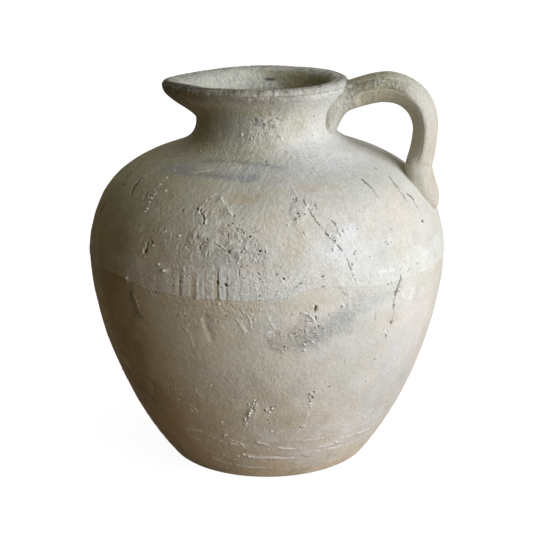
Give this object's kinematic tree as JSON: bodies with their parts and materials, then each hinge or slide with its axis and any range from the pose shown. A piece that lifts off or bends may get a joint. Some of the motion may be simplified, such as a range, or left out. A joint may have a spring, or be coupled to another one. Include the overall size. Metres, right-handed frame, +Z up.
{
  "type": "ceramic pitcher",
  "caption": "Big-bellied earthenware pitcher with a narrow neck, flared rim, pinched spout and one strap handle; weathered limewashed clay.",
  "frame": {"origin": "centre of the foot's underside, on the pot's axis, at table height", "axes": "+Z up the pot's axis; +X towards the handle, -X towards the spout; +Y to the left of someone looking from the spout to the handle"},
  "size_m": [0.3556, 0.3556, 0.3866],
  "materials": {
    "earth_clay": "matte, unglazed coarse clay, tan, with a worn chalky wash",
    "limewashed_clay": "matte, unglazed coarse clay under a worn limewash",
    "pale_slip": "matte, rough pale slip wiped over the joint",
    "inner_clay": "matte, bare brown clay"
  },
  "bodies": {
    "root": {"foot_slab": "earth_clay", "heel_coil": "inner_clay", "lower_belly": "earth_clay", "upper_belly": "limewashed_clay", "joint_band": "pale_slip", "joint_coil": "inner_clay", "neck": "limewashed_clay", "rim": "limewashed_clay", "handle": "limewashed_clay", "handle_top_lute": "pale_slip", "handle_tail_lute": "pale_slip"}
  },
  "joints": []
}
